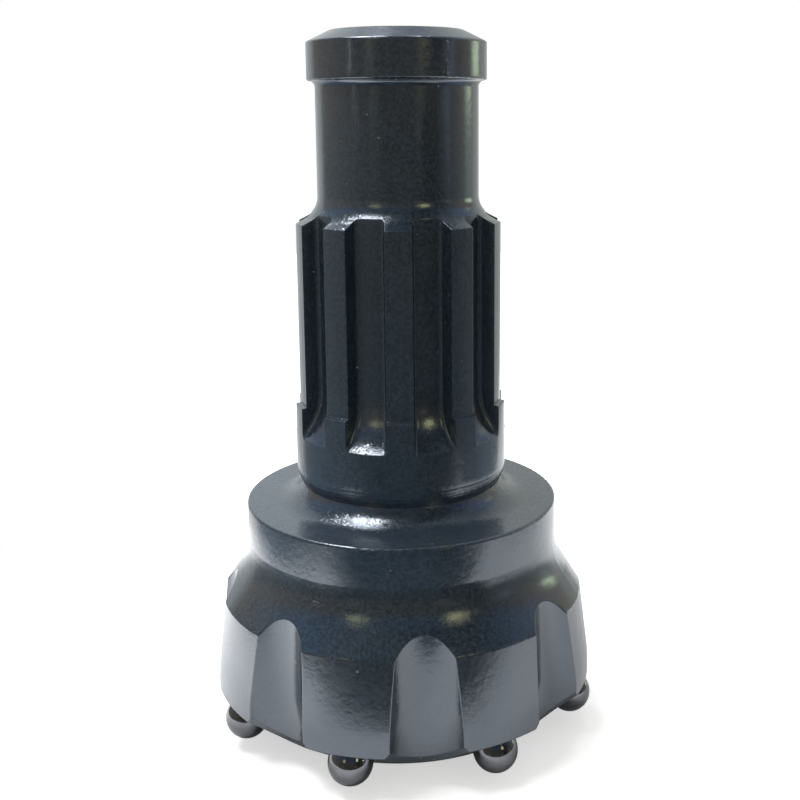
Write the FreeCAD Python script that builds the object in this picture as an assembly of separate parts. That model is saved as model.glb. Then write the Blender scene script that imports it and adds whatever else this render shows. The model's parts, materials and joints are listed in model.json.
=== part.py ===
"""Down-the-hole button bit, head down on its buttons. Millimetres, +Z towards the strike face.

The origin is on the axis, at the level on which the lowest button tips rest. The steel body is one
forging, turned and milled. Its carbide buttons are separate inserts, pressed into drilled holes.
"""

import FreeCAD, Part
import math
import os

from FreeCAD import Rotation, Vector

# Head: its bands from the cutting face upwards. The bevel's width and the lands' taper go by radius
HEAD_DIAMETER = 152.0
GAUGE_BEVEL_WIDTH = 14.5
GAUGE_BEVEL_ANGLE = 36.0
GAUGE_BAND_HEIGHT = 6.4
LAND_TAPER_HEIGHT = 28.5
LAND_TAPER = 3.6
FLARE_HEIGHT = 14.6
FLARE_ROUND = 23.3
SHOULDER_DIAMETER = 123.6
SHOULDER_BAND_HEIGHT = 22.9

# Exhaust flutes round the head, one between each two gauge buttons
FLUTE_DEPTH = 9.0
FLUTE_RADIUS = 15.3
FLUTE_MOUTH_BREAK = 1.8
FLUTE_EDGE_ROUND = 0.5

# Shank: diameters, and heights above the shoulder
GUIDE_DIAMETER = 83.4
GUIDE_HEIGHT = 40.0
STEP_BEVEL = 0.5
SPLINE_DIAMETER = 79.8
SPLINE_TOP_HEIGHT = 110.0
SPLINE_TOP_ANGLE = 27.0
NECK_DIAMETER = 62.4
NECK_ROUND = 9.2
COLLAR_BOTTOM_HEIGHT = 163.5
COLLAR_DIAMETER = 68.6
COLLAR_WALL_HEIGHT = 14.2
COLLAR_UNDER_ROUND = 2.5
STRIKE_BEVEL_HEIGHT = 4.3
STRIKE_DIAMETER = 51.0

# Relief where the guide meets the shoulder: the guide's foot curves in to a crease, and a hollow
# curves out from there to the flat
CREASE_DIAMETER = 79.0
CREASE_HEIGHT = 7.0
FOOT_HEIGHT = 8.0
HOLLOW_DIAMETER = 100.0

# Splines: straight-sided lands with milled grooves between them, which run out on the guide
SPLINE_COUNT = 10
SPLINE_WIDTH = 10.0
SPLINE_PHASE = -1.85
GROOVE_FLOOR_DIAMETER = 67.4
GROOVE_END_HEIGHT = 27.8
GROOVE_CUTTER_RADIUS = 25.0
GROOVE_ROOT_ROUND = 1.8

# Air passages: the central bore, two slanted holes to the face and the slots that lead from them
BORE_DIAMETER = 26.0
BORE_MOUTH_BEVEL = 2.0
BORE_END_DEPTH = 30.0
FLUSH_DIAMETER = 15.0
FLUSH_CIRCLE_DIAMETER = 60.0
FLUSH_START_ABOVE_BORE_END = 6.0
FLUSH_COUNT = 2
SLOT_WIDTH = 13.0
SLOT_DEPTH = 5.5

# Carbide buttons: gauge row on the bevel, then the rings on the face as circle diameter and angles
GAUGE_COUNT = 8
GAUGE_BUTTON_DIAMETER = 16.5
GAUGE_BUTTON_DEPTH = 16.0
FACE_BUTTON_DIAMETER = 14.0
FACE_BUTTON_DEPTH = 12.0
FACE_RING_DIAMETER = 88.0
FACE_RING_COUNT = 6
MIDDLE_RING_DIAMETER = 48.0
INNER_RING_DIAMETER = 18.0
BUTTON_WALL_SHOWING = 1.0
BUTTON_FOOT_BEVEL = 1.0

# Small rounds on turned edges
EDGE_ROUND = 0.8
LAND_EDGE_ROUND = 1.2
TAPER_ROUND = 60.0

# Reach of the cutting shapes past the steel, and how near an edge lies to the wall it belongs to
CLEAR = 5.0
NEAR = 0.001

head_radius = HEAD_DIAMETER / 2
face_radius = head_radius - GAUGE_BEVEL_WIDTH
land_top_radius = head_radius - LAND_TAPER
shoulder_radius = SHOULDER_DIAMETER / 2
guide_radius = GUIDE_DIAMETER / 2
spline_radius = SPLINE_DIAMETER / 2
neck_radius = NECK_DIAMETER / 2
groove_floor_radius = GROOVE_FLOOR_DIAMETER / 2
groove_reach = guide_radius + CLEAR
flute_centre = head_radius - FLUTE_DEPTH + FLUTE_RADIUS
gauge_angle = math.radians(GAUGE_BEVEL_ANGLE)

# The face buttons stand out by their own radius, and the bit rests on their tips
face_z = FACE_BUTTON_DIAMETER / 2 + BUTTON_WALL_SHOWING
gauge_z = face_z + GAUGE_BEVEL_WIDTH * math.tan(gauge_angle)
taper_z = gauge_z + GAUGE_BAND_HEIGHT
land_top_z = taper_z + LAND_TAPER_HEIGHT
flare_z = land_top_z + FLARE_HEIGHT
shoulder_z = flare_z + SHOULDER_BAND_HEIGHT
step_z = shoulder_z + GUIDE_HEIGHT
spline_top_z = shoulder_z + SPLINE_TOP_HEIGHT
collar_bottom_z = shoulder_z + COLLAR_BOTTOM_HEIGHT
collar_top_z = collar_bottom_z + COLLAR_WALL_HEIGHT
strike_z = collar_top_z + STRIKE_BEVEL_HEIGHT
bore_end_z = shoulder_z - BORE_END_DEPTH

# The flutes lie midway between the gauge buttons, and the face slots lead into two of them
flute_phase = 180.0 / GAUGE_COUNT
flush_phase = flute_phase


def around(angle, radius, height):
    """The point at an angle in degrees about the axis, at a radius and a height."""
    turn = math.radians(angle)
    return Vector(radius * math.cos(turn), radius * math.sin(turn), height)


def turned(shape, angle):
    """A copy of a shape, turned about the axis by an angle in degrees."""
    copy = shape.copy()
    copy.rotate(Vector(0, 0, 0), Vector(0, 0, 1), angle)
    return copy


def rounded_profile(corners):
    """Edges through (radius, height, round) corners in the XZ plane, each corner with its round."""
    edges = []
    start = Vector(corners[0][0], 0, corners[0][1])
    for before, here, after in zip(corners, corners[1:], corners[2:]):
        corner = Vector(here[0], 0, here[1])
        back = (Vector(before[0], 0, before[1]) - corner).normalize()
        on = (Vector(after[0], 0, after[1]) - corner).normalize()
        half = back.getAngle(on) / 2
        if here[2]:
            reach = here[2] / math.tan(half)
            middle = corner + (back + on).normalize() * (here[2] / math.sin(half))
            inside = middle + (corner - middle).normalize() * here[2]
            entry = corner + back * reach
            leave = corner + on * reach
            edges.append(Part.makeLine(start, entry))
            edges.append(Part.Arc(entry, inside, leave).toShape())
            start = leave
        else:
            edges.append(Part.makeLine(start, corner))
            start = corner
    edges.append(Part.makeLine(start, Vector(corners[-1][0], 0, corners[-1][1])))
    return edges


def revolved(edges):
    """The solid of a closed profile turned once about the axis."""
    face = Part.Face(Part.Wire(edges))
    return face.revolve(Vector(0, 0, 0), Vector(0, 0, 1), 360)


def arc_from(start, tangent, end):
    """The arc that leaves a point in a given direction and ends at another point."""
    chord = end - start
    across = (chord - tangent * chord.dot(tangent)).normalize()
    radius = chord.Length**2 / (2 * chord.dot(across))
    centre = start + across * radius
    middle = centre + (start - centre + end - centre).normalize() * radius
    return Part.Arc(start, middle, end).toShape()


def turned_blank():
    """The body as it leaves the lathe: head, shoulder, guide, neck and collar in one outline."""
    hollow = Vector(HOLLOW_DIAMETER / 2, 0, shoulder_z)
    crease = Vector(CREASE_DIAMETER / 2, 0, shoulder_z + CREASE_HEIGHT)
    foot = Vector(guide_radius, 0, crease.z + FOOT_HEIGHT)
    neck_foot_z = spline_top_z + (spline_radius - neck_radius) * math.tan(math.radians(SPLINE_TOP_ANGLE))
    head = [
        (0, face_z, 0),
        (face_radius, face_z, EDGE_ROUND),
        (head_radius, gauge_z, 0),
        (head_radius, taper_z, TAPER_ROUND),
        (land_top_radius, land_top_z, LAND_EDGE_ROUND),
        (shoulder_radius, flare_z, FLARE_ROUND),
        (shoulder_radius, shoulder_z, EDGE_ROUND),
        (hollow.x, hollow.z, 0),
    ]
    shank = [
        (foot.x, foot.z, 0),
        (guide_radius, step_z - STEP_BEVEL, 0),
        (spline_radius, step_z, 0),
        (spline_radius, spline_top_z, 0),
        (neck_radius, neck_foot_z, NECK_ROUND),
        (neck_radius, collar_bottom_z, COLLAR_UNDER_ROUND),
        (COLLAR_DIAMETER / 2, collar_bottom_z, EDGE_ROUND),
        (COLLAR_DIAMETER / 2, collar_top_z, EDGE_ROUND),
        (STRIKE_DIAMETER / 2, strike_z, EDGE_ROUND),
        (0, strike_z, 0),
    ]
    edges = rounded_profile(head)
    edges.append(arc_from(hollow, Vector(-1, 0, 0), crease))
    edges.append(arc_from(foot, Vector(0, 0, -1), crease))
    edges += rounded_profile(shank)
    edges.append(Part.makeLine(Vector(0, 0, strike_z), Vector(0, 0, face_z)))
    return revolved(edges)


def groove_cutter():
    """One spline groove: a straight floor that rises in an arc to run out on the guide."""
    reach = groove_reach
    top = spline_top_z + NECK_ROUND + CLEAR
    centre_r = groove_floor_radius + GROOVE_CUTTER_RADIUS
    end_z = shoulder_z + GROOVE_END_HEIGHT
    # height of the cutter's centre, from where its rim leaves the guide's surface
    centre_z = end_z + math.sqrt(GROOVE_CUTTER_RADIUS**2 - (centre_r - guide_radius) ** 2)

    def rim(radius):
        return Vector(radius, 0, centre_z - math.sqrt(GROOVE_CUTTER_RADIUS**2 - (centre_r - radius) ** 2))

    floor_low = Vector(groove_floor_radius, 0, centre_z)
    edges = [
        Part.makeLine(Vector(groove_floor_radius, 0, top), floor_low),
        Part.Arc(floor_low, rim(guide_radius), rim(reach)).toShape(),
        Part.makeLine(rim(reach), Vector(reach, 0, top)),
        Part.makeLine(Vector(reach, 0, top), Vector(groove_floor_radius, 0, top)),
    ]
    ring = revolved(edges)
    # the groove's sides stay parallel to the middle planes of the lands beside it
    step = 360.0 / SPLINE_COUNT
    half = SPLINE_WIDTH / 2
    root = around(step / 2, half / math.sin(math.radians(step / 2)), 0)
    near = root + around(0, 2 * reach, 0)
    far = root + around(step, 2 * reach, 0)
    sector = Part.Face(Part.makePolygon([root, near, far, root]))
    wedge = sector.extrude(Vector(0, 0, strike_z))
    cutter = ring.common(wedge)
    return cutter.makeFillet(GROOVE_ROOT_ROUND, [edge for edge in cutter.Edges if is_root_edge(edge)])


def is_root_edge(edge):
    """True for the edges that run up between a groove's floor and its sides."""
    middle = edge.valueAt((edge.FirstParameter + edge.LastParameter) / 2)
    inside = math.hypot(middle.x, middle.y) < groove_reach - NEAR
    runs_up = abs(edge.Vertexes[0].Z - edge.Vertexes[-1].Z) > NEAR
    return inside and runs_up


def cut_grooves(body):
    """The body with a groove milled between each two spline lands."""
    cutter = groove_cutter()
    step = 360.0 / SPLINE_COUNT
    cutters = [turned(cutter, SPLINE_PHASE + step * place) for place in range(SPLINE_COUNT)]
    return body.cut(cutters)


def is_flute_wall(surface):
    """True for the cylinder of a flute."""
    if not isinstance(surface, Part.Cylinder):
        return False
    return abs(math.hypot(surface.Center.x, surface.Center.y) - flute_centre) < NEAR


def flute_edges(body, lowest, highest):
    """The edges of the flutes' walls whose middles lie between two heights."""
    found = []
    for wall in [face for face in body.Faces if is_flute_wall(face.Surface)]:
        for edge in wall.Edges:
            middle = edge.valueAt((edge.FirstParameter + edge.LastParameter) / 2)
            if lowest < middle.z < highest:
                found.append(edge)
    return found


def cut_flutes(body):
    """The body with the exhaust flutes milled down the head and their edges broken."""
    flute = Part.makeCylinder(FLUTE_RADIUS, shoulder_z + CLEAR, Vector(flute_centre, 0, 0))
    step = 360.0 / GAUGE_COUNT
    body = body.cut([turned(flute, flute_phase + step * place) for place in range(GAUGE_COUNT)])
    body = body.makeChamfer(FLUTE_MOUTH_BREAK, flute_edges(body, face_z, gauge_z))
    return body.makeFillet(FLUTE_EDGE_ROUND, flute_edges(body, gauge_z, shoulder_z))


def bore_cutter():
    """The central air bore with its bevelled mouth and drill-point end."""
    radius = BORE_DIAMETER / 2
    edges = rounded_profile(
        [
            (0, bore_end_z, 0),
            (radius, bore_end_z + radius / 2, 0),
            (radius, strike_z - BORE_MOUTH_BEVEL, 0),
            (radius + BORE_MOUTH_BEVEL, strike_z, 0),
            (radius + BORE_MOUTH_BEVEL, strike_z + CLEAR, 0),
            (0, strike_z + CLEAR, 0),
        ]
    )
    edges.append(Part.makeLine(Vector(0, 0, strike_z + CLEAR), Vector(0, 0, bore_end_z)))
    return revolved(edges)


def flush_cutters():
    """The slanted flushing holes, and the slot that leads from each one out to a flute."""
    start = Vector(0, 0, bore_end_z + FLUSH_START_ABOVE_BORE_END)
    exit_radius = FLUSH_CIRCLE_DIAMETER / 2
    # the slot's centre line lies outside the face, so that it cuts to its depth and width
    slot_radius = (SLOT_WIDTH**2 / 4 + SLOT_DEPTH**2) / (2 * SLOT_DEPTH)
    slot_z = face_z + SLOT_DEPTH - slot_radius
    cutters = []
    for place in range(FLUSH_COUNT):
        angle = flush_phase + 360.0 / FLUSH_COUNT * place
        outlet = around(angle, exit_radius, face_z)
        line = outlet - start
        length = line.Length + FLUSH_DIAMETER
        cutters.append(Part.makeCylinder(FLUSH_DIAMETER / 2, length, start, line))
        slot_start = around(angle, exit_radius, slot_z)
        outward = around(angle, 1, 0)
        cutters.append(Part.makeSphere(slot_radius, slot_start))
        cutters.append(Part.makeCylinder(slot_radius, head_radius - exit_radius + CLEAR, slot_start, outward))
    return cutters


def button(diameter, depth):
    """A domed insert on the axis, with its foot below and the steel's surface at height 0."""
    radius = diameter / 2
    tip = Vector(0, 0, BUTTON_WALL_SHOWING + radius)
    side = Vector(radius, 0, BUTTON_WALL_SHOWING)
    slope = math.sqrt(0.5)
    on_dome = Vector(radius * slope, 0, BUTTON_WALL_SHOWING + radius * slope)
    foot = rounded_profile(
        [
            (0, -depth, 0),
            (radius - BUTTON_FOOT_BEVEL, -depth, 0),
            (radius, BUTTON_FOOT_BEVEL - depth, 0),
            (radius, BUTTON_WALL_SHOWING, 0),
        ]
    )
    dome = Part.Arc(side, on_dome, tip).toShape()
    axis = Part.makeLine(tip, Vector(0, 0, -depth))
    return revolved(foot + [dome, axis])


def button_hole(diameter, depth):
    """The drilled hole of a button, on the same axis and to the same depth."""
    return Part.makeCylinder(diameter / 2, depth + CLEAR, Vector(0, 0, -depth))


def gauge_seats():
    """Where each gauge button stands: middle of the bevel, square to it, one to each land."""
    radius = (head_radius + face_radius) / 2
    height = (face_z + gauge_z) / 2
    tilt = 180.0 - GAUGE_BEVEL_ANGLE
    seats = []
    for place in range(GAUGE_COUNT):
        angle = 360.0 / GAUGE_COUNT * place
        lean = Rotation(Vector(0, 0, 1), angle).multiply(Rotation(Vector(0, 1, 0), tilt))
        seats.append(FreeCAD.Placement(around(angle, radius, height), lean))
    return seats


def face_seats():
    """Where each face button stands: an outer ring, a middle pair and an inner pair, tips down."""
    step = 360.0 / FACE_RING_COUNT
    places = [(FACE_RING_DIAMETER, flush_phase + step * (place + 0.5)) for place in range(FACE_RING_COUNT)]
    places += [(MIDDLE_RING_DIAMETER, flush_phase + quarter) for quarter in (90.0, 270.0)]
    places += [(INNER_RING_DIAMETER, flush_phase + eighth) for eighth in (45.0, 225.0)]
    upside_down = Rotation(Vector(0, 1, 0), 180.0)
    return [
        FreeCAD.Placement(around(angle, diameter / 2, face_z), upside_down) for diameter, angle in places
    ]


def placed(shape, seat):
    """A copy of a shape, moved to a seat."""
    return shape.transformed(seat.toMatrix(), True)


def steel_body():
    """The finished body: turned, splined, fluted, drilled for air and for its buttons."""
    body = cut_flutes(cut_grooves(turned_blank()))
    cutters = [bore_cutter()] + flush_cutters()
    gauge_hole = button_hole(GAUGE_BUTTON_DIAMETER, GAUGE_BUTTON_DEPTH)
    face_hole = button_hole(FACE_BUTTON_DIAMETER, FACE_BUTTON_DEPTH)
    cutters += [placed(gauge_hole, seat) for seat in gauge_seats()]
    cutters += [placed(face_hole, seat) for seat in face_seats()]
    for cutter in cutters:
        body = body.cut(cutter)
    return body


def save(shape, node):
    """Writes one node, after checking that it is a single closed solid."""
    solids = shape.Solids
    if len(solids) != 1 or not solids[0].isValid():
        raise ValueError(node + " isn't one valid solid")
    solids[0].exportStep("parts/" + node + ".step")
    print(node, round(solids[0].Volume, 1))


def main():
    os.makedirs("parts", exist_ok=True)
    save(steel_body(), "bit_body")
    gauge_button = button(GAUGE_BUTTON_DIAMETER, GAUGE_BUTTON_DEPTH)
    for number, seat in enumerate(gauge_seats(), 1):
        save(placed(gauge_button, seat), f"gauge_button_{number:02d}")
    face_button = button(FACE_BUTTON_DIAMETER, FACE_BUTTON_DEPTH)
    for number, seat in enumerate(face_seats(), 1):
        save(placed(face_button, seat), f"face_button_{number:02d}")


main()
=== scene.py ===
"""Finishes a down-the-hole button bit and sets it on a white sheet in a studio. Metres, +Z up.

The bit's own solids come from the frame and stay as they are: this file gives them their enamel and
their carbide, and makes the sheet, the lamps, the room and the camera around them.
"""

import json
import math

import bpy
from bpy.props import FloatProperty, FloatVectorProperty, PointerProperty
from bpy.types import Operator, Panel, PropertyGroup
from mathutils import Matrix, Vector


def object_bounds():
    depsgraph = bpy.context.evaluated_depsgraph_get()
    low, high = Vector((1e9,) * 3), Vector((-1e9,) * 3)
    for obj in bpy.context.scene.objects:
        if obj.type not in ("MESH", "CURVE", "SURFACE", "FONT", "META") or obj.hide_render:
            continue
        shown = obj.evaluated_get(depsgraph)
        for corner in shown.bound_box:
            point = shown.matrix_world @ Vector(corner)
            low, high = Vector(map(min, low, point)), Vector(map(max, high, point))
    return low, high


bl_info = {
    "name": "Button Bit Finish",
    "version": (1, 0, 0),
    "blender": (4, 5, 0),
    "location": "3D View > Sidebar > Button Bit",
    "description": "Black enamel and carbide for a down-the-hole button bit, with its studio",
    "category": "Material",
}

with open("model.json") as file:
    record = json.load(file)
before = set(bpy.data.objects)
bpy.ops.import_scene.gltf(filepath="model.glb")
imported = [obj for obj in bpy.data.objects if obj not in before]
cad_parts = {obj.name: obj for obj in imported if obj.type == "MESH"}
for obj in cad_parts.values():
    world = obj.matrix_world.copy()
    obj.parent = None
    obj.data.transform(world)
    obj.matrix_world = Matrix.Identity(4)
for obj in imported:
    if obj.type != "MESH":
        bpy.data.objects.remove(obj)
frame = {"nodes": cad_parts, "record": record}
CAD_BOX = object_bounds()

# The level of the shoulder, which the camera was fitted to, is that of the mount on it
MOUNTS = {mount["name"]: mount for mount in frame["record"]["mounts"]}
SHOULDER_Z = MOUNTS["shoulder"]["pos_m"][2]
GUIDE_RADIUS = MOUNTS["chuck_guide"]["dims"]["r_mm"] / 1000

# The lens's axis meets the photograph right of its middle and above it, as shares of its side
SHIFT_X = -0.05625
SHIFT_Y = -0.11

# Where the curve of the guide's foot begins and ends, as heights above the shoulder
FOOT_LOW = 0.0071
FOOT_HIGH = 0.0152

# Dry spray glints from the shoulder up to this height, a little under the collar, and only in the
# grains whose draw is over the one named: they lean far, and all others by a trace
SPRAY_TOP = 0.25
GLINT_DRAW = 0.75
GLINT_LEAN = 0.3
TRACE_LEAN = 0.004

# Levels of the cloudiness between which it changes a finish's colour, and its roughness
CLOUD_COLOUR = (0.35, 0.65)
CLOUD_GLOSS = (0.3, 0.7)

# Colours that no setting changes: dust and specks, the enamel's reflections, and the lamps' light
DUST_COLOUR = (0.042, 0.056, 0.08, 1.0)
ENAMEL_SPECK_COLOUR = (0.16, 0.16, 0.15, 1.0)
CARBIDE_SPECK_COLOUR = (0.3, 0.3, 0.29, 1.0)
ENAMEL_MIRROR_TINT = (0.80, 0.88, 1.0, 1.0)
WHITE = (1.0, 1.0, 1.0, 1.0)
LAMP_YELLOW = (1.0, 0.9, 0.45, 1.0)

# Glow of the sheet: even white to the camera, and to mirrors a painted light, brighter on its left side
# and dimmer on the rest
CAMERA_GLOW = 0.55
PAINTED_LIGHT_GLOW = 1.35
PAINTED_SHADE_GLOW = 0.52

# Places on the sheet, in metres from the bit's axis and square to the camera: the middle and the reach of
# the bit's painted shadow, where the painted bright left side ends, and the round in which it ends
# outside
PAINTED_SHADOW_MIDDLE = (0.1, 0.03, 0.0)
PAINTED_SHADOW_REACH = (0.08, 0.13)
PAINTED_LIGHT_EDGE = (-0.17, -0.07)
PAINTED_LIGHT_ROUND = (0.225, 0.25)

# Colours of the room that the enamel mirrors: the wall behind the camera by height, and the backdrop
ROOM_LOW = (0.12, 0.17, 0.22, 1.0)
ROOM_MIDDLE = (0.13, 0.135, 0.13, 1.0)
ROOM_LEVEL = (0.19, 0.165, 0.14, 1.0)
ROOM_HIGH = (0.13, 0.18, 0.26, 1.0)
ROOM_TOP = (0.11, 0.12, 0.13, 1.0)
BACKDROP_LEFT = (0.88, 0.93, 0.93, 1.0)
BACKDROP_RIGHT = (0.72, 0.75, 0.70, 1.0)


class EnamelSettings(PropertyGroup):
    """The black enamel on the steel body."""

    colour: FloatVectorProperty(
        name="Colour",
        description="Colour of the enamel under its gloss",
        subtype="COLOR",
        default=(0.005, 0.009, 0.013),
        min=0.0,
        max=1.0,
    )
    roughness: FloatProperty(
        name="Roughness",
        description="Roughness of clean enamel",
        subtype="FACTOR",
        default=0.15,
        min=0.0,
        max=1.0,
    )
    ior: FloatProperty(
        name="IOR",
        description="Index of refraction, which sets how strongly the enamel mirrors",
        default=2.0,
        min=1.0,
        max=3.0,
    )
    peel_size: FloatProperty(
        name="Peel Size",
        description="Width of the ripples that the spray gun leaves",
        subtype="DISTANCE",
        unit="LENGTH",
        default=0.0024,
    )
    grit_size: FloatProperty(
        name="Grit Size",
        description="Width of the grains of dry spray in the enamel",
        subtype="DISTANCE",
        unit="LENGTH",
        default=0.0006,
    )
    peel_depth: FloatProperty(
        name="Peel Depth",
        description="Height of the ripples that the spray gun leaves",
        subtype="DISTANCE",
        unit="LENGTH",
        default=0.00004,
    )
    edge_radius: FloatProperty(
        name="Edge Radius",
        description="Radius to which the enamel rounds the sharp edges of the steel",
        subtype="DISTANCE",
        unit="LENGTH",
        default=0.0006,
    )


class CarbideSettings(PropertyGroup):
    """The pressed and tumbled carbide of the buttons."""

    colour: FloatVectorProperty(
        name="Colour",
        description="Colour that the carbide mirrors with",
        subtype="COLOR",
        default=(0.15, 0.155, 0.17),
        min=0.0,
        max=1.0,
    )
    roughness: FloatProperty(
        name="Roughness",
        description="Roughness of a clean dome",
        subtype="FACTOR",
        default=0.09,
        min=0.0,
        max=1.0,
    )


class StageSettings(PropertyGroup):
    """The sheet, the lamps, the room and the camera."""

    azimuth: FloatProperty(
        name="Camera Azimuth",
        description="Turn of the camera about the bit's axis",
        subtype="ANGLE",
        unit="ROTATION",
        default=math.radians(16.5),
    )
    distance: FloatProperty(
        name="Camera Distance",
        description="From the bit's axis to the lens",
        subtype="DISTANCE",
        unit="LENGTH",
        default=0.4376,
    )
    height: FloatProperty(
        name="Camera Height",
        description="Of the lens above the bit's shoulder",
        subtype="DISTANCE",
        unit="LENGTH",
        default=0.1525,
    )
    yaw: FloatProperty(
        name="Camera Yaw",
        description="How far the lens looks past the bit to the right",
        subtype="ANGLE",
        unit="ROTATION",
        default=math.radians(2.344),
    )
    pitch: FloatProperty(
        name="Camera Pitch",
        description="How far the lens looks down",
        subtype="ANGLE",
        unit="ROTATION",
        default=math.radians(10.2),
    )
    roll: FloatProperty(
        name="Camera Roll",
        description="Lean of the picture's horizon",
        subtype="ANGLE",
        unit="ROTATION",
        default=math.radians(-0.297),
    )
    focal_length: FloatProperty(
        name="Focal Length",
        description="On a sensor of 36 mm",
        default=50.61,
    )
    sheet_front: FloatProperty(
        name="Sheet Front",
        description="From the bit's axis to the sheet's front edge",
        subtype="DISTANCE",
        unit="LENGTH",
        default=0.170,
    )
    sheet_left: FloatProperty(
        name="Sheet Left",
        description="From the bit's axis to the sheet's left edge",
        subtype="DISTANCE",
        unit="LENGTH",
        default=0.225,
    )
    sheet_right: FloatProperty(
        name="Sheet Right",
        description="From the bit's axis to the sheet's right edge",
        subtype="DISTANCE",
        unit="LENGTH",
        default=0.29,
    )
    sheet_back: FloatProperty(
        name="Sheet Back",
        description="From the bit's axis to the sheet's back edge",
        subtype="DISTANCE",
        unit="LENGTH",
        default=1.5,
    )
    ceiling_radiance: FloatProperty(
        name="Ceiling Radiance",
        description="Brightness of the ceiling panels and of the small lamp behind the bit",
        default=15.0,
    )
    front_radiance: FloatProperty(
        name="Front Radiance",
        description="Brightness of the two small lamps beside the camera",
        default=3.0,
    )
    bulb_radiance: FloatProperty(
        name="Bulb Radiance",
        description="Brightness of the two bare bulbs that glint in the buttons",
        default=80.0,
    )
    fill: FloatProperty(
        name="Fill",
        description="Soft light that the whole room sheds on matt surfaces",
        default=0.45,
    )


def add_node(tree, kind, values=(), **settings):
    """A new node with its settings, and its inputs set to the values or linked to the sockets given."""
    made = tree.nodes.new("ShaderNode" + kind)
    for name, value in settings.items():
        setattr(made, name, value)
    for key, value in dict(values).items():
        if isinstance(value, bpy.types.NodeSocket):
            tree.links.new(value, made.inputs[key])
        else:
            made.inputs[key].default_value = value
    return made


def maths(tree, operation, *values):
    """The result of a Math node on numbers or sockets."""
    return add_node(tree, "Math", dict(enumerate(values)), operation=operation).outputs["Value"]


def ramp(tree, value, start, end, low=0.0, high=1.0):
    """A value taken smoothly from low at start to high at end, and held beyond them."""
    if start > end:
        start, end, low, high = end, start, high, low
    made = add_node(
        tree,
        "MapRange",
        {"Value": value, "From Min": start, "From Max": end, "To Min": low, "To Max": high},
        interpolation_type="SMOOTHSTEP",
    )
    return made.outputs["Result"]


def noise(tree, position, size, detail=2.0, roughness=0.5):
    """A noise between 0 and 1, whose lumps have about the size given."""
    scale = maths(tree, "DIVIDE", 1.0, size)
    values = {"Vector": position, "Scale": scale, "Detail": detail, "Roughness": roughness}
    return add_node(tree, "TexNoise", values).outputs["Fac"]


def cells(tree, position, size):
    """The outputs of a pattern of random cells, which have about the size given."""
    scale = maths(tree, "DIVIDE", 1.0, size)
    values = {"Vector": position, "Scale": scale, "Randomness": 1.0}
    return add_node(tree, "TexVoronoi", values).outputs


def vector_maths(tree, operation, *values, output="Vector"):
    """The result of a Vector Math node on vectors or sockets."""
    return add_node(tree, "VectorMath", dict(enumerate(values)), operation=operation).outputs[output]


def scaled(tree, vector, share):
    """A vector times a number or a socket."""
    made = add_node(tree, "VectorMath", {0: vector, "Scale": share}, operation="SCALE")
    return made.outputs["Vector"]


def band(tree, value, start, end, soft):
    """1 between two values and 0 outside them, with soft borders."""
    rise = ramp(tree, value, start - soft, start + soft)
    fall = ramp(tree, value, end + soft, end - soft)
    return maths(tree, "MULTIPLY", rise, fall)


def window(tree, azimuth, height, place, size, soft):
    """A patch of the room round a place, both as azimuth and height in degrees."""
    across = band(tree, azimuth, place[0] - size[0] / 2, place[0] + size[0] / 2, soft)
    upright = band(tree, height, place[1] - size[1] / 2, place[1] + size[1] / 2, soft)
    return maths(tree, "MULTIPLY", across, upright)


def blend_colours(tree, share, first, second):
    """The first colour where the share is 0, and the second where it is 1."""
    made = tree.nodes.new("ShaderNodeMix")
    made.data_type = "RGBA"
    sockets = {socket.identifier: socket for socket in made.inputs}
    for key, value in (("Factor_Float", share), ("A_Color", first), ("B_Color", second)):
        if isinstance(value, bpy.types.NodeSocket):
            tree.links.new(value, sockets[key])
        else:
            sockets[key].default_value = value
    return next(socket for socket in made.outputs if socket.identifier == "Result_Color")


def new_group(name, inputs, outputs):
    """An empty node group with its sockets, and its input and output nodes."""
    group = bpy.data.node_groups.new(name, "ShaderNodeTree")
    for label, kind, default in inputs:
        socket = group.interface.new_socket(label, in_out="INPUT", socket_type="NodeSocket" + kind)
        if default is not None:
            socket.default_value = default
    for label, kind in outputs:
        group.interface.new_socket(label, in_out="OUTPUT", socket_type="NodeSocket" + kind)
    return group, group.nodes.new("NodeGroupInput"), group.nodes.new("NodeGroupOutput")


def place_group(tree, name, values):
    """The outputs of a node group, placed in a tree with its values."""
    return add_node(tree, "Group", values, node_tree=bpy.data.node_groups[name]).outputs


def surface_grain():
    """Ripples and grit of a surface as a height, and cloudiness and mottle for its colour and gloss."""
    group, given, result = new_group(
        "surface_grain",
        (
            ("Position", "Vector", None),
            ("Ripple Size", "Float", 0.002),
            ("Grit Size", "Float", 0.0003),
            ("Grit", "Float", 0.1),
        ),
        (("Height", "Float"), ("Cloud", "Float"), ("Mottle", "Float")),
    )
    position = given.outputs["Position"]
    ripple = given.outputs["Ripple Size"]
    grain = given.outputs["Grit Size"]
    # ripples, broader and higher ones under them, and grit on top
    fine = noise(group, position, ripple, detail=1.0)
    broad = noise(group, position, maths(group, "MULTIPLY", ripple, 5.0), detail=1.0)
    grit = noise(group, position, grain, detail=1.0)
    height = maths(group, "MULTIPLY_ADD", broad, 1.5, fine)
    height = maths(group, "MULTIPLY_ADD", grit, given.outputs["Grit"], height)
    cloud = noise(group, position, maths(group, "MULTIPLY", ripple, 9.0), detail=4.0, roughness=0.6)
    mottle = noise(group, position, maths(group, "MULTIPLY", grain, 2.0), detail=3.0)
    group.links.new(height, result.inputs["Height"])
    group.links.new(cloud, result.inputs["Cloud"])
    group.links.new(mottle, result.inputs["Mottle"])


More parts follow.
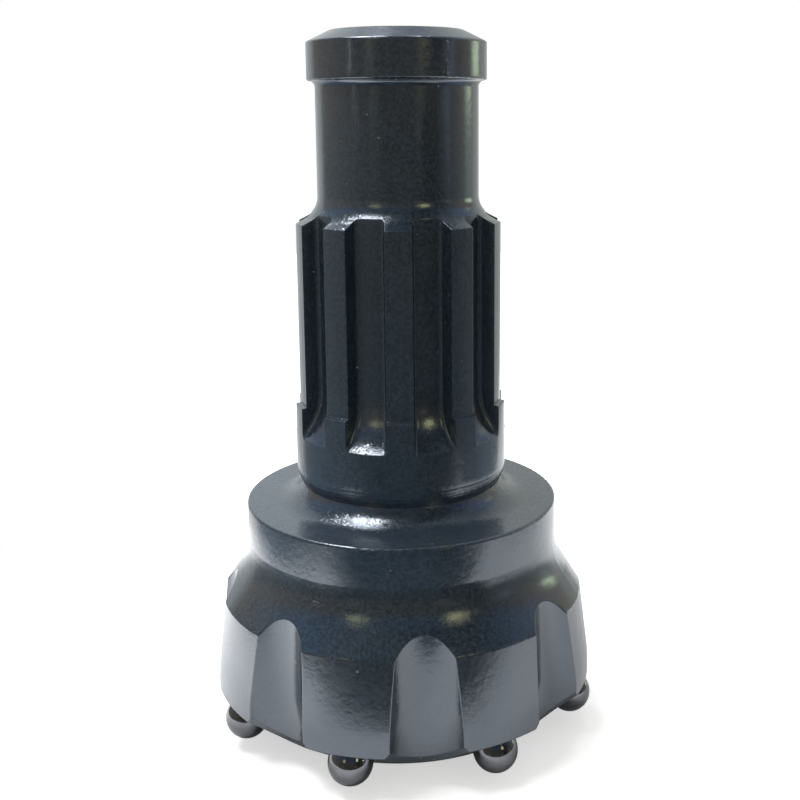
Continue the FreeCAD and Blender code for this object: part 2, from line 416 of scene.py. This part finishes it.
def dry_spray():
    """Grains of spray that dried on the way: a number for each grain, and its own small lean."""
    group, given, result = new_group(
        "dry_spray",
        (("Position", "Vector", None), ("Grain Size", "Float", 0.0006)),
        (("Draw", "Float"), ("Lean", "Vector")),
    )
    colour = cells(group, given.outputs["Position"], given.outputs["Grain Size"])["Color"]
    draw = add_node(group, "SeparateColor", {"Color": colour}).outputs["Red"]
    lean = vector_maths(group, "SUBTRACT", colour, (0.5, 0.5, 0.5))
    group.links.new(draw, result.inputs["Draw"])
    group.links.new(lean, result.inputs["Lean"])


def dust_specks():
    """A mask of fine scattered specks, of which the amount keeps a share."""
    group, given, result = new_group(
        "dust_specks",
        (("Position", "Vector", None), ("Spacing", "Float", 0.0012), ("Amount", "Float", 0.1)),
        (("Mask", "Float"),),
    )
    pattern = cells(group, given.outputs["Position"], given.outputs["Spacing"])
    draw = add_node(group, "SeparateColor", {"Color": pattern["Color"]}).outputs
    kept = maths(group, "LESS_THAN", draw["Red"], given.outputs["Amount"])
    # the specks' radii are shares of their spacing
    radius = maths(group, "MULTIPLY_ADD", draw["Green"], 0.10, 0.06)
    near = maths(group, "LESS_THAN", pattern["Distance"], radius)
    group.links.new(maths(group, "MULTIPLY", kept, near), result.inputs["Mask"])


def facing_up():
    """Masks of where a surface faces up: Dust where it lies flat, Spray also on the rounds beside it."""
    group, given, result = new_group(
        "facing_up",
        (("Position", "Vector", None), ("Patch Size", "Float", 0.006)),
        (("Dust", "Float"), ("Spray", "Float")),
    )
    normal = group.nodes.new("ShaderNodeNewGeometry").outputs["Normal"]
    up = add_node(group, "SeparateXYZ", {"Vector": normal}).outputs["Z"]
    position, size = given.outputs["Position"], given.outputs["Patch Size"]
    patches = noise(group, position, size, detail=5.0, roughness=0.7)
    patches = ramp(group, patches, 0.25, 0.75, 0.5, 1.0)
    # dust begins where a face lies within 41 degrees of level, and spray within 78 degrees
    flat = ramp(group, up, 0.75, 1.0)
    rounds = ramp(group, up, 0.2, 0.75)
    group.links.new(maths(group, "MULTIPLY", flat, patches), result.inputs["Dust"])
    group.links.new(maths(group, "MULTIPLY", rounds, patches), result.inputs["Spray"])


def filled_foot():
    """Height that shades the curve of the guide's foot as if paint filled it, up to the share given."""
    group, given, result = new_group(
        "filled_foot",
        (("Position", "Vector", None), ("Share", "Float", 0.85)),
        (("Height", "Float"),),
    )
    axes = add_node(group, "SeparateXYZ", {"Vector": given.outputs["Position"]}).outputs
    across = maths(group, "MULTIPLY", axes["X"], axes["X"])
    radius = maths(group, "SQRT", maths(group, "MULTIPLY_ADD", axes["Y"], axes["Y"], across))
    inset = maths(group, "MAXIMUM", maths(group, "SUBTRACT", GUIDE_RADIUS, radius), 0.0)
    over = maths(group, "GREATER_THAN", axes["Z"], SHOULDER_Z + FOOT_LOW)
    under = maths(group, "LESS_THAN", axes["Z"], SHOULDER_Z + FOOT_HIGH)
    foot = maths(group, "MULTIPLY", inset, maths(group, "MULTIPLY", over, under))
    group.links.new(maths(group, "MULTIPLY", foot, given.outputs["Share"]), result.inputs["Height"])


def studio_room():
    """Colour of the room by direction: a white backdrop behind, and dark walls to the sides and front."""
    group, given, result = new_group(
        "studio_room",
        (("Direction", "Vector", None), ("Turn", "Float", 0.0)),
        (("Color", "Color"),),
    )
    back = maths(group, "MULTIPLY", given.outputs["Turn"], -1.0)
    values = {"Vector": given.outputs["Direction"], "Angle": back}
    turned = add_node(group, "VectorRotate", values, rotation_type="Z_AXIS").outputs["Vector"]
    across, away, up = add_node(group, "SeparateXYZ", {"Vector": turned}).outputs
    # azimuth from the camera's side, positive to its right, and height above the horizon
    nearer = maths(group, "MULTIPLY", away, -1.0)
    azimuth = maths(group, "DEGREES", maths(group, "ARCTAN2", across, nearer))
    height = maths(group, "DEGREES", maths(group, "ARCSINE", up))
    # the walls, from the floor upwards
    walls = ROOM_LOW
    for start, end, shade in (
        (-21.0, -14.0, ROOM_MIDDLE),
        (-5.0, 1.0, ROOM_LEVEL),
        (10.0, 35.0, ROOM_HIGH),
        (33.0, 46.0, ROOM_TOP),
    ):
        walls = blend_colours(group, ramp(group, height, start, end), walls, shade)
    # they are paler towards the backdrop, and dark in one place right of the camera
    left = ramp(group, azimuth, -15.0, -110.0, 1.0, 2.6)
    right = ramp(group, azimuth, 62.0, 110.0, 1.0, 2.8)
    dark = maths(group, "MULTIPLY_ADD", band(group, azimuth, 25.0, 60.0, 12.0), -0.5, 1.0)
    level = maths(group, "MULTIPLY", maths(group, "MULTIPLY", left, right), dark)
    walls = scaled(group, walls, level)
    aside = ramp(group, maths(group, "ABSOLUTE", azimuth), 126.0, 134.0)
    backdrop = maths(group, "MULTIPLY", aside, ramp(group, height, 50.0, 34.0))
    white = blend_colours(group, ramp(group, azimuth, -60.0, 60.0), BACKDROP_LEFT, BACKDROP_RIGHT)
    colour = blend_colours(group, backdrop, walls, white)
    # what stands out on the walls: its place, its width and height, its soft border and its colour
    for place, size, soft, glow in (
        ((118.0, -3.0), (16.0, 14.0), 1.5, (0.60, 0.66, 0.60, 1.0)),
        ((118.0, 3.0), (15.0, 3.6), 0.8, (3.7, 4.3, 2.9, 1.0)),
        ((118.0, 22.0), (10.0, 6.0), 1.5, (1.3, 1.3, 1.1, 1.0)),
        ((74.0, 3.0), (7.0, 10.0), 2.0, (0.52, 0.60, 0.74, 1.0)),
        ((-34.0, 3.0), (8.0, 10.0), 2.5, (0.36, 0.36, 0.26, 1.0)),
        ((30.0, 3.0), (8.0, 10.0), 2.5, (0.38, 0.33, 0.26, 1.0)),
    ):
        patch = window(group, azimuth, height, place, size, soft)
        colour = blend_colours(group, patch, colour, glow)
    group.links.new(colour, result.inputs["Color"])


def new_material(name):
    """A material of one Principled shader, its tree, and the Object position on its surface."""
    material = bpy.data.materials.new(name)
    material.use_nodes = True
    tree = material.node_tree
    tree.nodes.clear()
    shader = tree.nodes.new("ShaderNodeBsdfPrincipled")
    output = tree.nodes.new("ShaderNodeOutputMaterial")
    tree.links.new(shader.outputs["BSDF"], output.inputs["Surface"])
    position = tree.nodes.new("ShaderNodeTexCoord").outputs["Object"]
    return material, tree, shader, position


def shaded(colour, red, green, blue):
    """A colour with each of its parts times a number, as a node's socket wants it."""
    return (colour[0] * red, colour[1] * green, colour[2] * blue, 1.0)


def sprayed_normal(tree, position, normal, spray, settings):
    """The normal where grains of dry spray lean: far enough to glint where spray lies, else a trace.

    Also gives the number drawn for each grain.
    """
    grains = place_group(tree, "dry_spray", {"Position": position, "Grain Size": settings.grit_size})
    height = add_node(tree, "SeparateXYZ", {"Vector": position}).outputs["Z"]
    lying = maths(tree, "MULTIPLY", spray, band(tree, height, SHOULDER_Z, SPRAY_TOP, soft=0.004))
    drawn = maths(tree, "GREATER_THAN", grains["Draw"], GLINT_DRAW)
    glinting = maths(tree, "MULTIPLY", drawn, lying)
    amount = maths(tree, "MULTIPLY_ADD", glinting, GLINT_LEAN, TRACE_LEAN)
    leant = vector_maths(tree, "ADD", normal, scaled(tree, grains["Lean"], amount))
    return vector_maths(tree, "NORMALIZE", leant), grains["Draw"]


def enamel_material(settings):
    """Black enamel: glossy, rippled by the spray gun, with grit and dust where spray settled."""
    material, tree, shader, position = new_material("black_enamel")
    facing = place_group(tree, "facing_up", {"Position": position})
    grain = place_group(
        tree,
        "surface_grain",
        {
            "Position": position,
            "Ripple Size": settings.peel_size,
            "Grit Size": settings.grit_size,
            "Grit": maths(tree, "MULTIPLY_ADD", facing["Spray"], 0.5, 0.4),
        },
    )
    foot = place_group(tree, "filled_foot", {"Position": position})
    height = maths(tree, "MULTIPLY_ADD", grain["Height"], settings.peel_depth, foot["Height"])
    edges = add_node(tree, "Bevel", {"Radius": settings.edge_radius}, samples=6).outputs["Normal"]
    bump = add_node(tree, "Bump", {"Strength": 1.0, "Distance": 1.0, "Height": height, "Normal": edges})
    normal, draw = sprayed_normal(tree, position, bump.outputs["Normal"], facing["Spray"], settings)
    specks = place_group(tree, "dust_specks", {"Position": position, "Spacing": 0.0022, "Amount": 0.05})
    # the colour varies slowly, then from grain to grain, and dust and specks lie over it
    clean = shaded(settings.colour, 1.0, 1.0, 1.0)
    cloudy = shaded(settings.colour, 1.3, 1.4, 1.3)
    colour = blend_colours(tree, ramp(tree, grain["Cloud"], *CLOUD_COLOUR), clean, cloudy)
    mottle = maths(tree, "MULTIPLY", ramp(tree, grain["Mottle"], 0.3, 0.7), maths(tree, "ADD", draw, 0.5))
    colour = blend_colours(tree, mottle, colour, shaded(settings.colour, 4.0, 3.6, 3.4))
    colour = blend_colours(tree, maths(tree, "MULTIPLY", facing["Dust"], 0.6), colour, DUST_COLOUR)
    colour = blend_colours(tree, specks["Mask"], colour, ENAMEL_SPECK_COLOUR)
    least, most = settings.roughness * 0.8, settings.roughness * 1.25
    roughness = ramp(tree, grain["Cloud"], *CLOUD_GLOSS, least, most)
    roughness = maths(tree, "MULTIPLY_ADD", grain["Mottle"], 0.08, roughness)
    roughness = maths(tree, "MULTIPLY_ADD", specks["Mask"], 0.4, roughness)
    tree.links.new(colour, shader.inputs["Base Color"])
    tree.links.new(roughness, shader.inputs["Roughness"])
    tree.links.new(normal, shader.inputs["Normal"])
    shader.inputs["IOR"].default_value = settings.ior
    shader.inputs["Specular Tint"].default_value = ENAMEL_MIRROR_TINT
    return material


def carbide_material(settings):
    """Sintered carbide: a dark grey metal, satin from tumbling, with fine pits and dust."""
    material, tree, shader, position = new_material("carbide")
    grain = place_group(
        tree,
        "surface_grain",
        {"Position": position, "Ripple Size": 0.0012, "Grit Size": 0.0002, "Grit": 0.3},
    )
    bump = add_node(tree, "Bump", {"Strength": 1.0, "Distance": 0.00001, "Height": grain["Height"]})
    specks = place_group(tree, "dust_specks", {"Position": position, "Spacing": 0.0016, "Amount": 0.08})
    clean = shaded(settings.colour, 1.0, 1.0, 1.0)
    cloudy = shaded(settings.colour, 0.75, 0.75, 0.75)
    metal = blend_colours(tree, ramp(tree, grain["Cloud"], *CLOUD_COLOUR), clean, cloudy)
    colour = blend_colours(tree, specks["Mask"], metal, CARBIDE_SPECK_COLOUR)
    least, most = settings.roughness * 0.8, settings.roughness * 1.4
    roughness = ramp(tree, grain["Cloud"], *CLOUD_GLOSS, least, most)
    tree.links.new(colour, shader.inputs["Base Color"])
    tree.links.new(roughness, shader.inputs["Roughness"])
    tree.links.new(bump.outputs["Normal"], shader.inputs["Normal"])
    shader.inputs["Metallic"].default_value = 1.0
    return material


def coat_nodes(names, material):
    """Gives nodes of the frame a material, in the slots of their objects."""
    for name in names:
        piece = frame["nodes"][name]
        for slot in piece.material_slots:
            slot.material = material


def nodes_called(prefix):
    """Names of the frame's nodes that start with a prefix."""
    return [name for name in frame["nodes"] if name.startswith(prefix)]


def sheet_material(middle):
    """White paper, with a glow of its own to the camera and to mirrors.

    The glow in mirrors is painted light: brighter on the left, and faded out round the bit in a painted
    shadow where its shade falls.
    """
    material, tree, shader, position = new_material("white_sheet")
    shader.inputs["Base Color"].default_value = (0.8, 0.8, 0.8, 1.0)
    shader.inputs["Roughness"].default_value = 0.9
    shader.inputs["Specular IOR Level"].default_value = 0.0
    shader.inputs["Emission Color"].default_value = WHITE
    path = tree.nodes.new("ShaderNodeLightPath").outputs
    # places on the sheet, from the bit's axis and square to the camera
    place = vector_maths(tree, "ADD", position, middle)
    across = add_node(tree, "SeparateXYZ", {"Vector": place}).outputs["X"]
    away = vector_maths(tree, "LENGTH", place, output="Value")
    from_painted_shadow = vector_maths(tree, "DISTANCE", place, PAINTED_SHADOW_MIDDLE, output="Value")
    # the bit itself reaches this far, over its gauge buttons
    reach = CAD_BOX[1][0]
    # painted shadow: the glow in mirrors fades out under the bit, and round the middle of the bit's shade
    # on the sheet
    clear = ramp(tree, away, reach, reach * 1.35)
    painted_lit = maths(tree, "MULTIPLY", clear, ramp(tree, from_painted_shadow, *PAINTED_SHADOW_REACH))
    level = maths(tree, "MULTIPLY", ramp(tree, across, *PAINTED_LIGHT_EDGE, PAINTED_LIGHT_GLOW, PAINTED_SHADE_GLOW), painted_lit)
    # on the left the painted bright part of the sheet ends in a round
    far_left = maths(tree, "MULTIPLY", ramp(tree, away, *PAINTED_LIGHT_ROUND), ramp(tree, across, 0.0, -0.08))
    level = maths(tree, "MULTIPLY", level, maths(tree, "SUBTRACT", 1.0, far_left))
    # this painted light and shadow show only to mirrors
    mirrored = maths(tree, "MULTIPLY", path["Is Glossy Ray"], level)
    glow = maths(tree, "MULTIPLY_ADD", path["Is Camera Ray"], CAMERA_GLOW, mirrored)
    tree.links.new(glow, shader.inputs["Emission Strength"])
    return material


def lay_sheet(settings):
    """The sheet the bit stands on: it ends a little in front of the bit and beside it."""
    width = settings.sheet_left + settings.sheet_right
    length = settings.sheet_front + settings.sheet_back
    right = (settings.sheet_right - settings.sheet_left) / 2
    behind = (settings.sheet_back - settings.sheet_front) / 2
    middle = Vector((right, behind, 0))
    turn = Matrix.Rotation(settings.azimuth, 3, "Z")
    bpy.ops.mesh.primitive_plane_add(size=1, location=turn @ middle, rotation=(0, 0, settings.azimuth))
    sheet = bpy.context.object
    sheet.name = "white_sheet"
    sheet.scale = (width, length, 1)
    bpy.ops.object.transform_apply(location=False, rotation=False, scale=True)
    sheet.data.materials.append(sheet_material(middle))


def hang_lamp(name, place, size, radiance, colour, turn):
    """A lamp that the camera doesn't see: a disc, or a rectangle where the size has two sides."""
    lamp = bpy.data.lights.new(name, "AREA")
    if isinstance(size, tuple):
        lamp.shape = "RECTANGLE"
        lamp.size, lamp.size_y = size
        area = size[0] * size[1]
    else:
        lamp.shape = "DISK"
        lamp.size = size
        area = math.pi * size**2 / 4
    # the power that gives a lamp of this area its radiance
    lamp.energy = radiance * area * math.pi
    lamp.color = colour[:3]
    holder = bpy.data.objects.new(name, lamp)
    bpy.context.collection.objects.link(holder)
    holder.location = place
    holder.rotation_euler = turn
    holder.visible_camera = False


def towards(target, place):
    """The turn that points a lamp at a place to its target."""
    return (target - place).to_track_quat("-Z", "Y").to_euler()


def around_bit(azimuth, elevation, distance, settings):
    """A point round the bit: azimuth in degrees from the camera's side, positive to the right."""
    side, rise = math.radians(azimuth), math.radians(elevation)
    flat = distance * math.cos(rise)
    point = Vector((flat * math.sin(side), -flat * math.cos(side), distance * math.sin(rise)))
    return Matrix.Rotation(settings.azimuth, 3, "Z") @ point


def hang_lamps(settings):
    """Two ceiling panels, a small lamp behind, and the lamps and bulbs either side of the camera."""
    middle = Vector((0, 0, SHOULDER_Z))
    turn = Matrix.Rotation(settings.azimuth, 3, "Z")
    # offsets from the middle of the shoulder: to the right, away from the camera, and up
    for name, offset, size in (
        ("back_panel", (-0.36, 0.54, 1.55), (0.54, 0.70)),
        ("front_panel", (-0.65, -0.2, 1.55), (0.6, 0.7)),
    ):
        place = middle + turn @ Vector(offset)
        hang_lamp(name, place, size, settings.ceiling_radiance, WHITE, (0, 0, settings.azimuth))
    # the others by azimuth, elevation, distance and width, each turned to the shoulder
    for name, azimuth, elevation, distance, width, radiance, colour in (
        ("ceiling_lamp", 152, 66, 1.6, 0.2, settings.ceiling_radiance, WHITE),
        ("left_lamp", -32, 23, 1.0, 0.2, settings.front_radiance * 0.6, LAMP_YELLOW),
        ("right_lamp", 36, 23, 1.0, 0.2, settings.front_radiance, LAMP_YELLOW),
        ("left_bulb", -60, 6, 3.0, 0.026, settings.bulb_radiance, WHITE),
        ("right_bulb", 66, 6, 3.0, 0.026, settings.bulb_radiance, WHITE),
    ):
        place = middle + around_bit(azimuth, elevation, distance, settings)
        hang_lamp(name, place, width, radiance, colour, towards(middle, place))


def build_room(settings):
    """The world: white to the camera, the room to mirrors, and soft white light to matt surfaces."""
    world = bpy.data.worlds.new("studio")
    bpy.context.scene.world = world
    world.use_nodes = True
    tree = world.node_tree
    tree.nodes.clear()
    direction = tree.nodes.new("ShaderNodeTexCoord").outputs["Generated"]
    room = place_group(tree, "studio_room", {"Direction": direction, "Turn": settings.azimuth})
    path = tree.nodes.new("ShaderNodeLightPath").outputs
    fill = (settings.fill, settings.fill, settings.fill, 1.0)
    colour = blend_colours(tree, path["Is Glossy Ray"], fill, room["Color"])
    colour = blend_colours(tree, path["Is Camera Ray"], colour, WHITE)
    background = add_node(tree, "Background", {"Color": colour, "Strength": 1.0})
    output = tree.nodes.new("ShaderNodeOutputWorld")
    tree.links.new(background.outputs["Background"], output.inputs["Surface"])


def set_camera(settings):
    """The camera, at the place and with the aim that were fitted to the photograph."""
    # the axes of a lens that doesn't roll, then its own, before all is turned round the bit
    level = Vector((math.cos(settings.yaw), -math.sin(settings.yaw), 0))
    ahead = Vector((math.sin(settings.yaw), math.cos(settings.yaw), 0)) * math.cos(settings.pitch)
    ahead.z = -math.sin(settings.pitch)
    upright = level.cross(ahead)
    right = level * math.cos(settings.roll) + upright * math.sin(settings.roll)
    up = upright * math.cos(settings.roll) - level * math.sin(settings.roll)
    turn = Matrix.Rotation(settings.azimuth, 3, "Z")
    pose = Matrix((turn @ right, turn @ up, turn @ -ahead)).transposed().to_4x4()
    pose.translation = turn @ Vector((0, -settings.distance, SHOULDER_Z + settings.height))
    camera = bpy.data.cameras.new("camera")
    camera.sensor_width = 36.0
    camera.lens = settings.focal_length
    camera.shift_x = SHIFT_X
    camera.shift_y = SHIFT_Y
    camera.dof.use_dof = False
    holder = bpy.data.objects.new("camera", camera)
    bpy.context.collection.objects.link(holder)
    holder.matrix_world = pose
    bpy.context.scene.camera = holder


class BUTTONBIT_OT_make_effects(Operator):
    """Build the node groups that the finishes and the room use"""

    bl_idname = "buttonbit.make_effects"
    bl_label = "Make Shared Effects"

    def execute(self, context):
        surface_grain()
        dry_spray()
        dust_specks()
        facing_up()
        filled_foot()
        studio_room()
        return {"FINISHED"}


class BUTTONBIT_OT_paint_body(Operator):
    """Paint the steel body with black enamel"""

    bl_idname = "buttonbit.paint_body"
    bl_label = "Paint Body"

    def execute(self, context):
        coat_nodes(["bit_body"], enamel_material(context.scene.bit_enamel))
        return {"FINISHED"}


class BUTTONBIT_OT_finish_buttons(Operator):
    """Give the gauge buttons and the face buttons their carbide"""

    bl_idname = "buttonbit.finish_buttons"
    bl_label = "Finish Buttons"

    def execute(self, context):
        carbide = carbide_material(context.scene.bit_carbide)
        coat_nodes(nodes_called("gauge_button") + nodes_called("face_button"), carbide)
        return {"FINISHED"}


class BUTTONBIT_OT_set_stage(Operator):
    """Lay the sheet, hang the lamps, and set the room and the camera"""

    bl_idname = "buttonbit.set_stage"
    bl_label = "Set Stage"

    def execute(self, context):
        settings = context.scene.bit_stage
        lay_sheet(settings)
        hang_lamps(settings)
        build_room(settings)
        set_camera(settings)
        context.scene.view_settings.view_transform = "Standard"
        return {"FINISHED"}


class BUTTONBIT_PT_sidebar(Panel):
    """Sidebar panel with the bit's finishes and its stage"""

    bl_idname = "BUTTONBIT_PT_sidebar"
    bl_label = "Button Bit"
    bl_space_type = "VIEW_3D"
    bl_region_type = "UI"
    bl_category = "Button Bit"

    def draw(self, context):
        layout = self.layout
        scene = context.scene
        layout.operator(BUTTONBIT_OT_make_effects.bl_idname)
        for settings, operator in (
            (scene.bit_enamel, BUTTONBIT_OT_paint_body),
            (scene.bit_carbide, BUTTONBIT_OT_finish_buttons),
            (scene.bit_stage, BUTTONBIT_OT_set_stage),
        ):
            box = layout.box()
            for name in settings.__annotations__:
                box.prop(settings, name)
            box.operator(operator.bl_idname)


CLASSES = (
    EnamelSettings,
    CarbideSettings,
    StageSettings,
    BUTTONBIT_OT_make_effects,
    BUTTONBIT_OT_paint_body,
    BUTTONBIT_OT_finish_buttons,
    BUTTONBIT_OT_set_stage,
    BUTTONBIT_PT_sidebar,
)


def register():
    """Registers the classes and gives the scene their settings."""
    for entry in CLASSES:
        bpy.utils.register_class(entry)
    bpy.types.Scene.bit_enamel = PointerProperty(type=EnamelSettings)
    bpy.types.Scene.bit_carbide = PointerProperty(type=CarbideSettings)
    bpy.types.Scene.bit_stage = PointerProperty(type=StageSettings)


def unregister():
    """Takes the settings and the classes away again."""
    del bpy.types.Scene.bit_stage
    del bpy.types.Scene.bit_carbide
    del bpy.types.Scene.bit_enamel
    for entry in reversed(CLASSES):
        bpy.utils.unregister_class(entry)


def main():
    register()
    bpy.ops.object.select_all(action="DESELECT")
    bpy.ops.buttonbit.make_effects()
    bpy.ops.buttonbit.paint_body()
    bpy.ops.buttonbit.finish_buttons()
    bpy.ops.buttonbit.set_stage()


if __name__ == "__main__":
    main()
